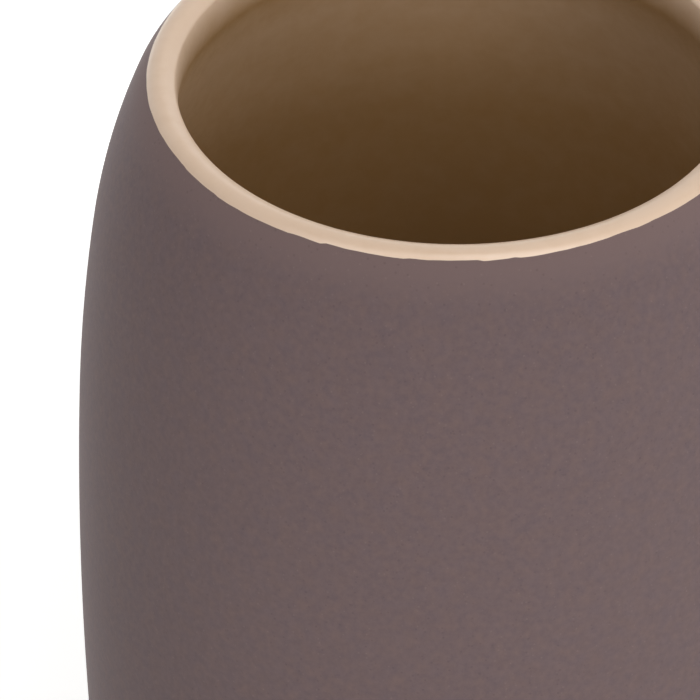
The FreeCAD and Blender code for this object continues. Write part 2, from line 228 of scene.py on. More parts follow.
class TumblerStage(bpy.types.PropertyGroup):
    """Lamps, floor and camera of the small studio."""

    key_power: power("Key", "Softbox in front, at the right", 2.3)
    low_power: power("Low", "Low softbox in front, at the right", 1.65)
    fill_power: power("Fill", "Softbox in front, at the left", 1.7)
    side_power: power("Side", "Low softbox at the right", 0.8)
    top_power: power("Top", "High softbox in front", 1.1)
    rim_power: power("Rim", "Low softbox behind, at the left", 2.2)
    back_power: power("Back", "High softbox behind, at the right", 1.7)
    rear_power: power("Rear", "Low softbox behind", 2.8)
    softbox_distance: length("Softbox distance", "From a softbox to its aim", 0.9)
    ambient: share("Ambient", "Strength of the light from all round", 0.103)
    floor_glow: share("Floor glow", "What the floor adds near the tumbler where it is looked at", 0.55)
    glow_start: length("Glow start", "How far from the tumbler the floor starts to turn white", 0.25)
    glow_end: length("Glow end", "How far from the tumbler the floor is white", 0.80)
    floor_size: length("Floor size", "Width of the floor", 8.0)
    floor_colour: colour("Floor", "Pale floor", (0.82, 0.81, 0.79))
    floor_dull: colour("Dull floor", "Floor where it is duller", (0.8036, 0.7938, 0.7742))
    camera_distance: length("Camera distance", "From the camera to its aim", 0.90310)
    camera_pitch: angular("Camera pitch", "How far the camera looks down", math.radians(36.956))
    aim_height: length("Aim height", "Height of the camera's aim on the axis", 0.071764)
    aim_left: length("Aim left", "How far the camera's aim lies left of the axis", 0.011521)
    lens: focal("Lens", "Focal length of the camera", 411.43)


class SectionLine:
    """A piece's section as one line: radius, height and the way out of the piece at each place on it.

    The piece lies on the left of travel, so the way out of it is the tangent turned right.
    """

    def __init__(self):
        self.points = np.empty((0, 2))
        self.outward = np.empty((0, 2))

    def add(self, points, outward):
        """Adds samples at the line's end."""
        self.points = np.concatenate([self.points, points])
        self.outward = np.concatenate([self.outward, outward])

    def straight(self, start, stop):
        """Adds the points start + t (stop - start) for t from 0 to 1."""
        start, stop = np.array(start), np.array(stop)
        along = (stop - start) / np.linalg.norm(stop - start)
        points = start + np.linspace(0.0, 1.0, LINE_SAMPLES)[:, None] * (stop - start)
        self.add(points, np.tile([along[1], -along[0]], (LINE_SAMPLES, 1)))

    def arc(self, centre, bend, start, stop):
        """Adds the points centre + bend (cos a, sin a) for a from start to stop."""
        angle = np.linspace(start, stop, LINE_SAMPLES)
        spoke = np.stack([np.cos(angle), np.sin(angle)], axis=1)
        self.add(np.array(centre) + bend * spoke, math.copysign(1.0, stop - start) * spoke)

    def path(self, corners, bends):
        """Adds straight runs through the corners, each inner one rounded by an arc of its bend."""
        corners = [np.array(corner) for corner in corners]
        start = corners[0]
        for before, corner, after, bend in zip(corners, corners[1:], corners[2:], bends):
            along = (corner - before) / np.linalg.norm(corner - before)
            onward = (after - corner) / np.linalg.norm(after - corner)
            turn = math.atan2(along[0] * onward[1] - along[1] * onward[0], along @ onward)
            reach = bend * math.tan(abs(turn) / 2.0)
            side = math.copysign(1.0, turn) * np.array([-along[1], along[0]])
            centre = corner - reach * along + bend * side
            first = math.atan2(-side[1], -side[0])
            self.straight(start, corner - reach * along)
            self.arc(centre, bend, first, first + turn)
            start = corner + reach * onward
        self.straight(start, corners[-1])

    @property
    def places(self):
        """How far along the line each sample lies."""
        steps = np.linalg.norm(np.diff(self.points, axis=0), axis=1)
        return np.concatenate([[0.0], np.cumsum(steps)])

    @property
    def end(self):
        """The line's whole length."""
        return float(self.places[-1])

    def at(self, place):
        """Radius, height and outward direction at places along the line, as arrays of their shape."""
        known = self.places
        columns = np.concatenate([self.points, self.outward], axis=1).T
        return [np.interp(place, known, column) for column in columns]

    def raised(self, place, thickness):
        """Radius and height at places along the line, moved out of the piece by a thickness."""
        radius, height, out_radius, out_height = self.at(place)
        return radius + thickness * out_radius, height + thickness * out_height

    def rings(self, place, columns):
        """Radius and height of a round ring at each place, with a column for each of its points."""
        return self.at(np.tile(place[:, None], (1, columns)))[:2]

    def rows(self, low, high, step, turn):
        """Places from low to high, each at most one step of length or one turn of angle apart."""
        known = self.places
        inside = known[(known > low) & (known < high)]
        place = np.concatenate([[low], inside, [high]])
        _, _, out_radius, out_height = self.at(place)
        lean = np.unwrap(np.arctan2(out_height, out_radius))
        spent = np.cumsum(np.diff(place) / step + np.abs(np.diff(lean)) / turn)
        spent = np.concatenate([[0.0], spent])
        count = math.ceil(spent[-1]) + 1
        return np.interp(np.linspace(0.0, spent[-1], count), spent, place)


def towards(arc, lean, distance):
    """The point at a distance from an arc's centre, in the direction of a lean."""
    return arc["centre"] + distance * np.array([math.cos(lean), math.sin(lean)])


def wall_arcs(form):
    """The arcs of the clay's outside, each leaving the one below it along the same tangent.

    Going up an arc, the sine of the wall's lean grows by rise over bend. The lean where the belly
    ends follows from the height that is left under the crest of the lip.
    """
    lip = form.lip_round
    upper = {
        "flank": (form.flank_bend, form.flank_rise),
        "shoulder": (form.shoulder_bend, form.shoulder_rise),
        "lip_bend": (form.lip_bend, form.lip_rise),
    }
    growth = sum(rise / bend for bend, rise in upper.values())
    rises = sum(rise for _, rise in upper.values())
    crest = form.overall_height - form.glaze_thickness
    sine = (crest - lip * (1.0 - growth) - rises - form.belly_height) / (form.belly_bend - lip)

    drop = form.belly_height - form.foot_lift - form.heel_rise
    heel_lean = -math.asin(drop / form.belly_bend)
    belly_radius = form.belly_diameter / 2.0 - form.coat_thickness
    belly = {
        "centre": np.array([belly_radius - form.belly_bend, form.belly_height]),
        "bend": form.belly_bend,
        "low": heel_lean,
        "high": math.asin(sine),
    }
    arcs = {"belly": belly}
    below = belly
    for name, (bend, rise) in upper.items():
        sine += rise / bend
        centre = towards(below, below["high"], below["bend"] - bend)
        arcs[name] = {"centre": centre, "bend": bend, "low": below["high"], "high": math.asin(sine)}
        below = arcs[name]
    centre = towards(below, below["high"], below["bend"] - lip)
    arcs["lip"] = {"centre": centre, "bend": lip, "low": below["high"], "high": math.pi / 2.0}

    heel = {"centre": towards(belly, heel_lean, belly["bend"] - form.heel_bend)}
    roll_reach = form.heel_bend - form.foot_round
    roll_rise = form.foot_lift + form.foot_round - heel["centre"][1]
    roll_lean = math.asin(roll_rise / roll_reach)
    heel.update(bend=form.heel_bend, low=roll_lean, high=heel_lean)
    arcs["heel"] = heel
    centre = towards(heel, roll_lean, roll_reach)
    low = -math.pi / 2.0
    arcs["foot_roll"] = {"centre": centre, "bend": form.foot_round, "low": low, "high": roll_lean}
    return arcs


def hollow_arcs(form, wall):
    """The arcs of the clay's inside, from the crest of the lip down to the floor.

    A short bevel falls from the lip to the mouth's edge, and the throat bulges in below that edge. The
    hollow touches the throat from below and the inside of the belly from within, so its centre is a
    corner of the triangle on their two centres.
    """
    slope = math.pi / 2.0 + math.atan2(form.bevel_fall, form.bevel_run)
    lip = {"centre": wall["lip"]["centre"], "bend": form.lip_round, "high": slope}
    bevel_end = towards(lip, slope, form.lip_round) - np.array([form.bevel_run, form.bevel_fall])
    edge = {"centre": bevel_end, "bend": form.mouth_edge_round, "low": slope}
    edge["centre"] = towards(edge, slope, -edge["bend"])

    inward = form.throat_bend - edge["bend"]
    narrowest = form.overall_height - form.glaze_thickness - form.throat_depth
    edge["high"] = math.pi - math.asin((edge["centre"][1] - narrowest) / inward)
    throat = {"centre": towards(edge, edge["high"], -inward), "bend": form.throat_bend}

    belly = {"centre": wall["belly"]["centre"], "bend": form.belly_bend - form.wall}
    across, up = throat["centre"] - belly["centre"]
    away = math.hypot(across, up)
    reach = belly["bend"] - form.hollow_bend
    touch = form.hollow_bend + form.throat_bend
    swing = math.acos((reach**2 + away**2 - touch**2) / (2.0 * reach * away))
    belly["high"] = math.atan2(up, across) - swing
    hollow = {"centre": towards(belly, belly["high"], reach), "bend": form.hollow_bend}
    across, up = throat["centre"] - hollow["centre"]
    hollow.update(low=belly["high"], high=math.atan2(up, across))
    throat.update(low=edge["high"], high=math.pi + hollow["high"])

    turn_reach = belly["bend"] - form.floor_round
    turn_rise = form.floor_height + form.floor_round - belly["centre"][1]
    belly["low"] = math.asin(turn_rise / turn_reach)
    turn = {"centre": towards(belly, belly["low"], turn_reach), "bend": form.floor_round}
    turn.update(low=-math.pi / 2.0, high=belly["low"])
    names = ("lip", "edge", "throat", "hollow", "belly", "turn")
    return dict(zip(names, (lip, edge, throat, hollow, belly, turn)))


def clay_section(form):
    """The clay's whole section, from the middle of the recess over foot, wall and lip to the floor.

    Returns the line and the places on it of the heel and of the trimmed line under the lip.
    """
    arcs = wall_arcs(form)
    line = SectionLine()
    marks = {}
    roll = arcs["foot_roll"]
    ring_radius = roll["centre"][0] - form.foot_ring_width
    corners = (
        (0.0, form.recess_height),
        (ring_radius - form.recess_flare, form.recess_height),
        (ring_radius, form.foot_lift),
        (roll["centre"][0], form.foot_lift),
    )
    line.path(corners, (form.ring_round, form.ring_round))

    line.arc(roll["centre"], roll["bend"], roll["low"], roll["high"])
    marks["heel"] = line.end
    for name in ("heel", "belly", "flank", "shoulder", "lip_bend"):
        line.arc(arcs[name]["centre"], arcs[name]["bend"], arcs[name]["low"], arcs[name]["high"])
    marks["trim"] = line.end
    lip = arcs["lip"]
    line.arc(lip["centre"], lip["bend"], lip["low"], lip["high"])

    inner = hollow_arcs(form, arcs)
    line.arc(lip["centre"], lip["bend"], lip["high"], inner["lip"]["high"])
    edge, turn = inner["edge"], inner["turn"]
    line.straight(line.points[-1], towards(edge, edge["low"], edge["bend"]))
    for name in ("edge", "throat"):
        arc = inner[name]
        line.arc(arc["centre"], arc["bend"], arc["low"], arc["high"])
    for name in ("hollow", "belly", "turn"):
        arc = inner[name]
        line.arc(arc["centre"], arc["bend"], arc["high"], arc["low"])
    line.straight((turn["centre"][0], form.floor_height), (0.0, form.floor_height))
    return line, marks


def disc_section(reach, low, high, bends):
    """Half a disc's section: out along its underside, up its rim and back along its top."""
    line = SectionLine()
    line.path(((0.0, low), (reach, low), (reach, high), (0.0, high)), bends)
    return line


def ring_angles(columns):
    """Even angles of a ring's points, from the right towards the back."""
    return np.linspace(0.0, 2.0 * math.pi, columns, endpoint=False)


def hand_wave(angle, waves):
    """A hand-cut edge round the tumbler: the sum of sin(k t + p) / k^(1/3), scaled to at most 1."""
    count = np.array(waves, float)
    phase = PHASE_STEP * np.arange(len(waves)) * count
    size = 1.0 / np.cbrt(count)
    wave = size @ np.sin(np.outer(count, angle) + phase[:, None])
    return wave / np.abs(wave).max()


def hand_cut(angle, strokes):
    """An edge cut by hand in strokes, from -1 to 1: each drifts a little and starts with a small step.

    Stroke k goes straight from sin(2 p k) to sin(3 p k), where p is the phase step.
    """
    number = np.arange(strokes + 1)
    start = 2.0 * math.pi * (number + STROKE_STRAY * np.sin(PHASE_STEP * number)) / strokes
    start[-1] = 2.0 * math.pi
    stroke = np.searchsorted(start, angle, side="right") - 1
    along = (angle - start[stroke]) / (start[stroke + 1] - start[stroke])
    first = np.sin(2.0 * PHASE_STEP * stroke)
    last = np.sin(3.0 * PHASE_STEP * stroke)
    return first + along * (last - first)


def rounded_off(distance, width):
    """From 0 at an edge to 1 at a width from it, along a quarter of an ellipse."""
    left = 1.0 - np.clip(distance / width, 0.0, 1.0)
    return np.sqrt(1.0 - left * left)


def eased(distance, width):
    """From 0 at an edge to 1 at a width from it, level at both ends: 3 w^2 - 2 w^3."""
    way = np.clip(distance / width, 0.0, 1.0)
    return way * way * (3.0 - 2.0 * way)


def ring_map(points, hidden):
    """Heights of the rings and ends on the bake's map: shares of the way along the section.

    A step counts by its mean length, and for less if the ring that it leads to is hidden.
    """
    steps = np.linalg.norm(np.diff(points, axis=0), axis=2).mean(axis=1)
    steps = steps * np.where(hidden, HIDDEN_SHARE, 1.0)
    way = np.concatenate([[0.0], np.cumsum(steps)])
    return way / way[-1]


def turned_mesh(name, radius, height, hidden, poles=None, centre=(0.0, 0.0)):
    """A closed mesh of rings: ring i has the points (r cos t, r sin t, z) at even angles t.

    radius and height have one row for each ring and one column for each angle. Poles are the heights
    of the points on the axis that close the first and last ring. Without them the last ring joins the
    first. hidden says which rings another piece covers.
    """
    rows, columns = radius.shape
    angle = ring_angles(columns)
    rings = np.stack(
        [centre[0] + radius * np.cos(angle), centre[1] + radius * np.sin(angle), height], axis=-1
    )
    index = np.arange(rows * columns).reshape(rows, columns)
    points = rings.reshape(-1, 3)
    around = np.arange(columns) / columns
    beyond = around + 1.0 / columns

    if poles is None:
        lower, upper = index, np.roll(index, -1, axis=0)
        levels = ring_map(np.concatenate([rings, rings[:1]]), np.append(hidden[1:], True))
    else:
        lower, upper = index[:-1], index[1:]
        ends = [np.tile([*centre, pole], (1, columns, 1)) for pole in poles]
        spread = ring_map(np.concatenate([ends[0], rings, ends[1]]), np.append(hidden, hidden[-1]))
        levels = spread[1:-1]
        points = np.concatenate([points, ends[0][0, :1], ends[1][0, :1]])
    quads = np.stack([lower, np.roll(lower, -1, 1), np.roll(upper, -1, 1), upper], axis=-1)
    faces = quads.reshape(-1, 4).tolist()
    across = np.tile(np.stack([around, beyond, beyond, around], axis=-1), (len(lower), 1, 1))
    level = np.stack([levels[: len(lower)]] * 2 + [levels[1 : len(lower) + 1]] * 2, axis=-1)
    level = np.broadcast_to(level[:, None, :], across.shape)
    corners = [np.stack([across, level], axis=-1).reshape(-1, 2)]

    if poles is not None:
        middle = (around + beyond) / 2.0
        first, last = len(points) - 2, len(points) - 1
        beside = np.roll(index, -1, axis=1)
        fans = (
            (np.full(columns, first), beside[0], index[0]),
            (index[-1], beside[-1], np.full(columns, last)),
        )
        fan_across = ((middle, beyond, around), (around, beyond, middle))
        fan_levels = ((0.0, levels[0], levels[0]), (levels[-1], levels[-1], 1.0))
        for fan, places, heights in zip(fans, fan_across, fan_levels):
            faces += np.stack(fan, axis=-1).tolist()
            place = np.stack(places, axis=-1)
            corners.append(np.stack([place, np.broadcast_to(heights, place.shape)], -1).reshape(-1, 2))

    mesh = bpy.data.meshes.new(name)
    mesh.from_pydata(points.tolist(), [], faces)
    mesh.polygons.foreach_set("use_smooth", np.ones(len(faces), bool))
    bake_map = mesh.uv_layers.new(name=MAP_NAME)
    bake_map.uv.foreach_set("vector", np.concatenate(corners).astype(np.float32).ravel())
    mesh.set_sharp_from_angle(angle=SHARP_TURN)
    mesh.update()
    return mesh


def place_piece(name, mesh, material, node):
    """Puts a finished piece in the scene in place of the plain node that it stands for."""
    mesh.materials.append(material)
    piece = bpy.data.objects.new(name, mesh)
    bpy.context.scene.collection.objects.link(piece)
    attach(piece, BODY)
    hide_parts(node)


def add_node(tree, kind, inputs=None, **fields):
    """Adds a node: fields are its own settings, and inputs its sockets, each a value or a link."""
    node = tree.nodes.new(kind)
    for name, value in fields.items():
        setattr(node, name, value)
    for name, value in (inputs or {}).items():
        socket = node.inputs[name]
        if isinstance(value, bpy.types.NodeSocket):
            tree.links.new(value, socket)
        else:
            socket.default_value = value
    return node


def calculate(tree, operation, first, second=0.0, clamp=False):
    """One step of arithmetic on two values or links."""
    inputs = {0: first, 1: second}
    node = add_node(tree, "ShaderNodeMath", inputs, operation=operation, use_clamp=clamp)
    return node.outputs["Value"]


def mix_colours(tree, factor, first, second):
    """One colour passing into another as the factor goes from 0 to 1."""
    inputs = {"Factor": factor}
    for socket, paint in ((MIX_FIRST, first), (MIX_SECOND, second)):
        linked = isinstance(paint, bpy.types.NodeSocket)
        inputs[socket] = paint if linked else (*paint, 1.0)
    node = add_node(tree, "ShaderNodeMix", inputs, data_type="RGBA")
    return node.outputs[MIX_RESULT]


def tint(tree, mask, strength, paint, other):
    """Another colour mixed into the paint where a mask shows, up to a strength."""
    return mix_colours(tree, calculate(tree, "MULTIPLY", mask, strength), paint, other)


def between(tree, value, low, high, to_low=0.0, to_high=1.0, smooth=False):
    """Maps a value's range onto another range, ending at its limits."""
    inputs = {"Value": value, "From Min": low, "From Max": high, "To Min": to_low, "To Max": to_high}
    kind = "SMOOTHSTEP" if smooth else "LINEAR"
    node = add_node(tree, "ShaderNodeMapRange", inputs, interpolation_type=kind, clamp=True)
    return node.outputs["Result"]


def by_stops(tree, value, stops):
    """A share that goes straight from each stop, a value and its share, to the next."""
    low, high = stops[0][0], stops[-1][0]
    ramp = add_node(tree, "ShaderNodeValToRGB", {"Fac": between(tree, value, low, high)})
    points = ramp.color_ramp.elements
    for place, _ in stops[1:-1]:
        points.new((place - low) / (high - low))
    for point, (_, part) in zip(points, stops):
        point.color = (part, part, part, 1.0)
    return ramp.outputs["Color"]


def new_group(name, inputs, outputs):
    """An empty shader node group with named sockets, and its two ends."""
    group = bpy.data.node_groups.new(name, "ShaderNodeTree")
    for socket, (kind, default) in inputs.items():
        made = group.interface.new_socket(name=socket, in_out="INPUT", socket_type=kind)
        if default is not None:
            made.default_value = default
    for socket in outputs:
        group.interface.new_socket(name=socket, in_out="OUTPUT", socket_type="NodeSocketFloat")
    return group, add_node(group, "NodeGroupInput").outputs, add_node(group, "NodeGroupOutput").inputs


def mottle_group():
    """Fired mottle: broad clouds and fine blotches, each from 0 to 1. Scales are per metre."""
    name = "Fired Mottle"
    if name in bpy.data.node_groups:
        return bpy.data.node_groups[name]
    sockets = {
        "Vector": ("NodeSocketVector", None),
        "Broad Scale": ("NodeSocketFloat", 30.0),
        "Fine Scale": ("NodeSocketFloat", 600.0),
    }
    group, given, made = new_group(name, sockets, ("Broad", "Fine"))
    for output, scale, detail in (("Broad", "Broad Scale", 3.0), ("Fine", "Fine Scale", 4.0)):
        inputs = {"Vector": given["Vector"], "Scale": given[scale], "Detail": detail, "Roughness": 0.6}
        noise = add_node(group, "ShaderNodeTexNoise", inputs)
        spread = between(group, noise.outputs["Fac"], NOISE_LOW, NOISE_HIGH)
        group.links.new(spread, made[output])
    return group


def specks_group():
    """Pin specks: a soft dot in some of the cells that fill space, 1 in its middle.

    Cells is their number per metre, Radius a share of a cell, and Share the share of cells with a dot.
    """
    name = "Pin Specks"
    if name in bpy.data.node_groups:
        return bpy.data.node_groups[name]
    sockets = {
        "Vector": ("NodeSocketVector", None),
        "Cells": ("NodeSocketFloat", 1500.0),
        "Radius": ("NodeSocketFloat", 0.2),
        "Share": ("NodeSocketFloat", 0.3),
    }
    group, given, made = new_group(name, sockets, ("Mask",))
    inputs = {"Vector": given["Vector"], "Scale": given["Cells"]}
    cells = add_node(group, "ShaderNodeTexVoronoi", inputs)
    picked = calculate(group, "LESS_THAN", cells.outputs["Color"], given["Share"])
    depth = calculate(group, "DIVIDE", cells.outputs["Distance"], given["Radius"])
    dot = between(group, depth, 1.0, SPECK_CORE, smooth=True)
    group.links.new(calculate(group, "MULTIPLY", dot, picked), made["Mask"])
    return group


def grain_group():
    """Fine grain: the height of a powdery or orange-peel surface, from 0 to 1. Scale is per metre."""
    name = "Fine Grain"
    if name in bpy.data.node_groups:
        return bpy.data.node_groups[name]
    sockets = {"Vector": ("NodeSocketVector", None), "Scale": ("NodeSocketFloat", 2500.0)}
    group, given, made = new_group(name, sockets, ("Height",))
    inputs = {"Vector": given["Vector"], "Scale": given["Scale"], "Detail": 3.0, "Roughness": 0.65}
    noise = add_node(group, "ShaderNodeTexNoise", inputs)
    group.links.new(noise.outputs["Fac"], made["Height"])
    return group


def use_group(tree, group, inputs):
    """Places a node group in a material with its own values."""
    return add_node(tree, "ShaderNodeGroup", inputs, node_tree=group).outputs


def mottled(tree, place, broad, fine):
    """Clouds and blotches of a finish, at so many per metre."""
    return use_group(
        tree, mottle_group(), {"Vector": place, "Broad Scale": broad, "Fine Scale": fine}
    )


def specked(tree, place, cells, radius, picked):
    """The mask of a finish's specks: cells per metre, a share of a cell, and the share of cells."""
    inputs = {"Vector": place, "Cells": cells, "Radius": radius, "Share": picked}
    return use_group(tree, specks_group(), inputs)["Mask"]


def grained(tree, shader, place, scale, rough, strength, relief):
    """Gives a surface its grain: a range of roughness, and a relief in metres at some strength."""
    grain = use_group(tree, grain_group(), {"Vector": place, "Scale": scale})["Height"]
    tree.links.new(between(tree, grain, NOISE_LOW, NOISE_HIGH, *rough), shader["Roughness"])
    inputs = {"Height": grain, "Strength": strength, "Distance": relief}
    bump = add_node(tree, "ShaderNodeBump", inputs)
    tree.links.new(bump.outputs["Normal"], shader["Normal"])


def height_of(tree, place):
    """How high a place on the piece is above the table."""
    return add_node(tree, "ShaderNodeSeparateXYZ", {"Vector": place}).outputs["Z"]


def shifted(tree, place, offset):
    """The place on the piece moved by an offset, so that a second pattern differs from the first."""
    node = add_node(tree, "ShaderNodeMapping", {"Vector": place, "Location": offset})
    return node.outputs["Vector"]


def new_material(name):
    """A material with only a Principled shader, the place on the piece and the way to its output."""
    material = bpy.data.materials.new(name)
    material.use_nodes = True
    tree = material.node_tree
    tree.nodes.clear()
    shader = add_node(tree, "ShaderNodeBsdfPrincipled")
    output = add_node(tree, "ShaderNodeOutputMaterial")
    tree.links.new(shader.outputs["BSDF"], output.inputs["Surface"])
    place = add_node(tree, "ShaderNodeTexCoord").outputs["Object"]
    return material, tree, shader.inputs, place


def mauve_coat(finish, trim_height):
    """Matte sprayed coat: soft clouds, pale and dark pin specks, a powdery surface, and a paler band
    under the trimmed line that is painted light on the shoulder.
    """
    material, tree, shader, place = new_material("matte_mauve")
    mottle = mottled(tree, place, broad=650.0, fine=1300.0)
    paint = mix_colours(tree, mottle["Broad"], finish.coat, finish.coat_cloud)
    paint = tint(tree, mottle["Fine"], finish.powder_strength, paint, finish.coat_dark)
    # Painted light: the coat turns paler towards the trimmed line, where the shoulder catches the lamps
    # above the front.
    low = trim_height - finish.lit_band_width
    lit_band = between(tree, height_of(tree, place), low, trim_height, smooth=True)
    paint = mix_colours(tree, lit_band, paint, finish.coat_lit_band)
    pale = specked(tree, place, cells=1500.0, radius=0.22, picked=0.35)
    paint = tint(tree, pale, finish.speck_strength, paint, finish.coat_pale)
    apart = shifted(tree, place, SPECK_SHIFT)
    dark = specked(tree, apart, cells=1300.0, radius=0.24, picked=0.4)
    paint = tint(tree, dark, finish.speck_strength, paint, finish.coat_dark)
    tree.links.new(paint, shader["Base Color"])
    grained(tree, shader, place, scale=3500.0, rough=(0.74, 0.88), strength=0.35, relief=0.00004)
    shader["Specular IOR Level"].default_value = 0.22
    shader["Diffuse Roughness"].default_value = 0.8
    shader["Sheen Weight"].default_value = finish.coat_sheen
    shader["Sheen Roughness"].default_value = 0.45
    return material


def cream_glaze(name, finish, crest=None):
    """Satin cream glaze, warmer in soft blotches. Below a crest, if one is given, it darkens with depth,
    partly as a deeper glaze and partly as painted shade in the hollow and under the throat's fold.
    """
    material, tree, shader, place = new_material(name)
    mottle = mottled(tree, place, broad=55.0, fine=350.0)
    blotch = calculate(tree, "MULTIPLY", mottle["Broad"], mottle["Fine"])
    paint = mix_colours(tree, blotch, finish.cream, finish.cream_warm)
    if crest is not None:
        # Painted shade: the glaze turns towards the deep colour with depth below the crest, with a dark
        # ring under the throat's fold.
        below = calculate(tree, "SUBTRACT", crest, height_of(tree, place))
        stray = between(tree, mottle["Fine"], 0.0, 1.0, -finish.glaze_mottle, finish.glaze_mottle)
        depth = calculate(tree, "ADD", by_stops(tree, below, DEEP_GLAZE_AND_SHADE_STOPS), stray, clamp=True)
        paint = mix_colours(tree, depth, paint, finish.cream_deep_and_shade)
    tree.links.new(paint, shader["Base Color"])
    grained(tree, shader, place, scale=700.0, rough=(0.30, 0.40), strength=0.12, relief=0.00005)
    shader["Specular IOR Level"].default_value = 1.0
    shader["Diffuse Roughness"].default_value = 0.4
    return material


def bare_clay(finish):
    """Fired clay without glaze: buff, gritty and rough."""
    material, tree, shader, place = new_material("bare_clay")
    mottle = mottled(tree, place, broad=90.0, fine=1400.0)
    paint = tint(tree, mottle["Fine"], finish.clay_mottle, finish.clay, finish.clay_dark)
    grit = specked(tree, place, cells=1800.0, radius=0.3, picked=0.3)
    paint = tint(tree, grit, finish.grit_strength, paint, finish.clay_dark)
    tree.links.new(paint, shader["Base Color"])
    grained(tree, shader, place, scale=4500.0, rough=(0.85, 0.97), strength=0.6, relief=0.00006)
    shader["Specular IOR Level"].default_value = 0.25
    shader["Diffuse Roughness"].default_value = 1.0
    return material


def cloudy_silicone(finish):
    """Soft clear rubber that has clouded: lets some light through, with a little dust in its skin."""
    material, tree, shader, place = new_material("cloudy_silicone")
    mottle = mottled(tree, place, broad=250.0, fine=2200.0)
    paint = tint(tree, mottle["Fine"], finish.dust_strength, finish.silicone, finish.silicone_dusty)
    tree.links.new(paint, shader["Base Color"])
    grained(tree, shader, place, scale=3000.0, rough=(0.35, 0.5), strength=0.2, relief=0.00003)
    shader["IOR"].default_value = 1.41
    shader["Transmission Weight"].default_value = 0.35
    return material


def shown_rows(form, line, low, high):
    """Places of the rings in sight, from low to high on a section."""
    return line.rows(low, high, form.ring_step, form.ring_turn)


def hidden_rows(form, line, low, high):
    """Places of the rings that another piece covers, from low to high on a section."""
    return line.rows(low, high, form.hidden_step, form.hidden_turn)


class TUMBLER_OT_clay_blank(bpy.types.Operator):
    """Turn the clay body with its foot ring and the recess inside the ring"""

    bl_idname = "tumbler.clay_blank"
    bl_label = "Clay blank"

    def execute(self, context):
        form = context.scene.tumbler_form
        line, marks = clay_section(form)
        foot = shown_rows(form, line, 0.0, marks["heel"])
        body = hidden_rows(form, line, marks["heel"], line.end)
        place = np.concatenate([foot[1:], body[1:-1]])
        radius, height = line.rings(place, form.columns)
        hidden = place > marks["heel"]
        poles = (form.recess_height, form.floor_height)
        mesh = turned_mesh("clay_blank", radius, height, hidden, poles)
        material = bare_clay(context.scene.tumbler_finish)
        place_piece("clay_blank", mesh, material, "stoneware_body")
        return {"FINISHED"}


def trim_places(form, marks):
    """Where the coat meets the glaze under the lip, at each angle round the tumbler."""
    angle = ring_angles(form.columns)
    strokes = STROKE_SHARE * hand_cut(angle, TRIM_STROKES)
    jitter = (1.0 - STROKE_SHARE) * hand_wave(angle, TRIM_WAVES)
    return marks["trim"] + form.trim_wave * (strokes + jitter)


class TUMBLER_OT_cream_lining(bpy.types.Operator):
    """Glaze the lip, the inside and the floor, down to the trimmed line outside"""

    bl_idname = "tumbler.cream_lining"
    bl_label = "Cream lining"

    def execute(self, context):
        form = context.scene.tumbler_form
        line, marks = clay_section(form)
        trim = trim_places(form, marks)
        shown = shown_rows(form, line, marks["trim"], line.end)[:-1]
        back = hidden_rows(form, line, marks["trim"], line.end)[-2::-1]
        place = np.concatenate([back, shown])
        hidden = np.arange(len(place)) < len(back)
        left = (line.end - place) / (line.end - marks["trim"])
        place = line.end - left[:, None] * (line.end - trim)
        flush = form.coat_thickness
        thickness = flush + (form.glaze_thickness - flush) * eased(place - trim, form.glaze_edge)
        radius, height = line.raised(place, np.where(hidden[:, None], 0.0, thickness))
        poles = (form.floor_height, form.floor_height + form.glaze_thickness)
        mesh = turned_mesh("cream_lining", radius, height, hidden, poles)
        material = cream_glaze("satin_cream", context.scene.tumbler_finish, form.overall_height)
        place_piece("cream_lining", mesh, material, "lining_glaze")
        return {"FINISHED"}


class TUMBLER_OT_mauve_coat(bpy.types.Operator):
    """Coat the outside from the heel up to the trimmed line under the lip"""

    bl_idname = "tumbler.mauve_coat"
    bl_label = "Mauve coat"

    def execute(self, context):
        form = context.scene.tumbler_form
        line, marks = clay_section(form)
        high = trim_places(form, marks)
        low = marks["heel"] + form.heel_wave * hand_wave(ring_angles(form.columns), HEEL_WAVES)
        shown = shown_rows(form, line, marks["heel"], marks["trim"])
        edge = marks["heel"] + form.coat_edge * np.linspace(0.0, 1.0, COAT_EDGE_RINGS) ** 2
        shown = np.concatenate([edge, shown[shown > edge[-1] + form.coat_edge / 2.0]])
        back = hidden_rows(form, line, marks["heel"], marks["trim"])[:0:-1]
        place = np.concatenate([shown, back])
        hidden = np.arange(len(place)) >= len(shown)
        way = (place - marks["heel"]) / (marks["trim"] - marks["heel"])
        place = low + way[:, None] * (high - low)
        thickness = form.coat_thickness * rounded_off(place - low, form.coat_edge)
        radius, height = line.raised(place, np.where(hidden[:, None], 0.0, thickness))
        mesh = turned_mesh("mauve_coat", radius, height, hidden)
        trim_height = line.at(marks["trim"])[1]
        material = mauve_coat(context.scene.tumbler_finish, trim_height)
        place_piece("mauve_coat", mesh, material, "matte_coat")
        return {"FINISHED"}


